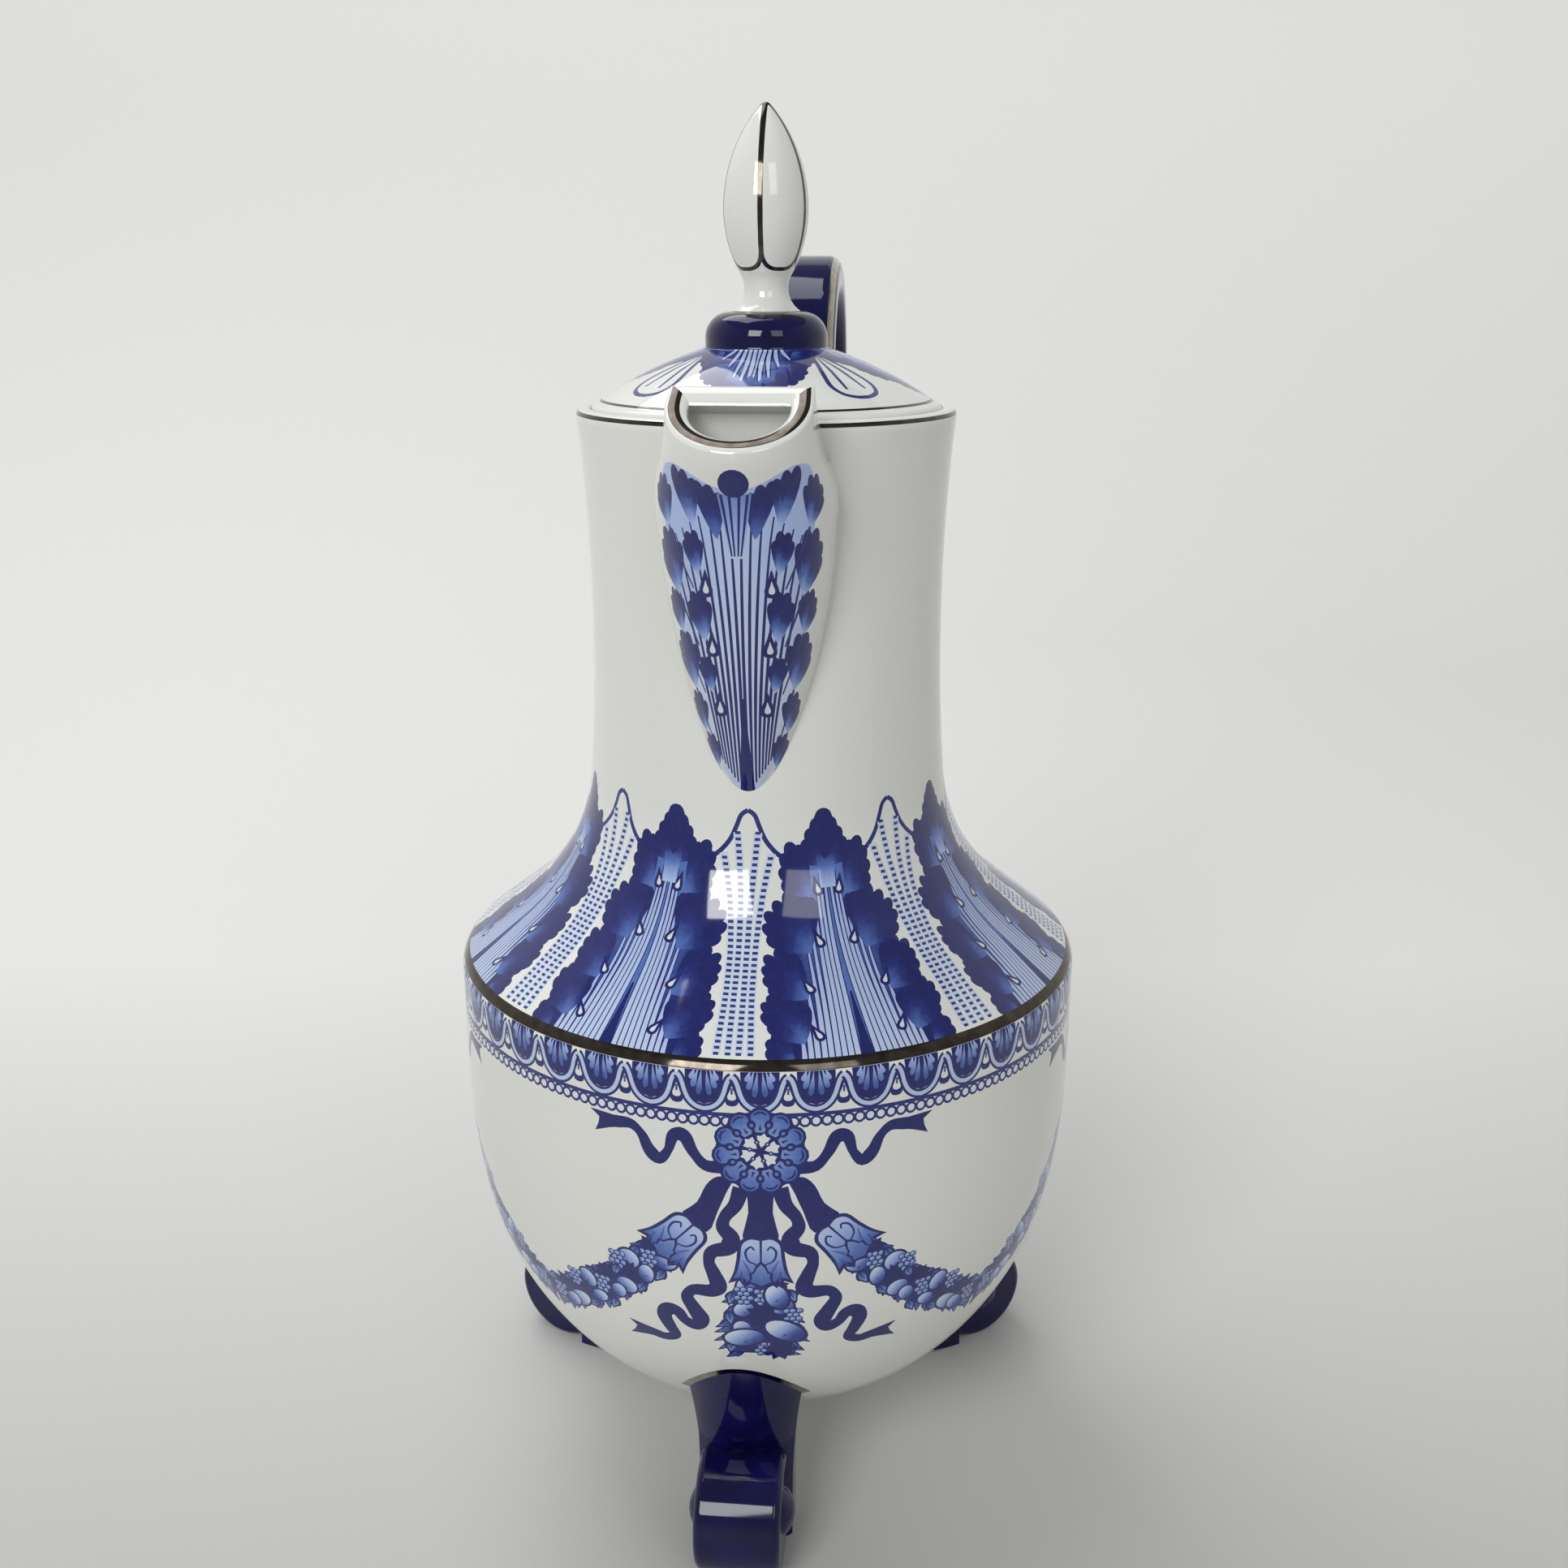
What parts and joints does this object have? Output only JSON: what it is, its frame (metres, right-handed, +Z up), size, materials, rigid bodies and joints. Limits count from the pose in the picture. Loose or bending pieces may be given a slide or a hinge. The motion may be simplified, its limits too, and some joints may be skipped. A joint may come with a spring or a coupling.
{
  "type": "porcelain coffee pot",
  "caption": "Tall footed porcelain coffee pot with a beak spout, strap handle and lift-off lid with a bud finial, for brewing, holding and pouring hot drinks.",
  "frame": {"origin": "in the plane of the table that the feet stand on, under the middle of the pot's box: halfway from the front of the front foot to the back of the handle, 20.4 mm behind the pot's turning axis", "axes": "+Z up along the pot's axis, spout towards -Y, handle towards +Y"},
  "size_m": [0.1314, 0.1758, 0.285],
  "materials": {
    "white_porcelain": "glossy clear glaze over underglaze blue print, with thin platinum lines",
    "cobalt_glaze": "glossy dark cobalt glaze"
  },
  "bodies": {
    "pot": {"body": "white_porcelain", "spout": "white_porcelain", "handle": "cobalt_glaze", "foot_front": "cobalt_glaze", "foot_rear_left": "cobalt_glaze", "foot_rear_right": "cobalt_glaze"},
    "lid": {"lid": "white_porcelain", "finial": "white_porcelain"}
  },
  "joints": [
    {"name": "lid_lift", "type": "slide", "parent": "pot", "child": "lid", "axis": [0, 0, 1], "range_m": [0, 0.065]}
  ]
}
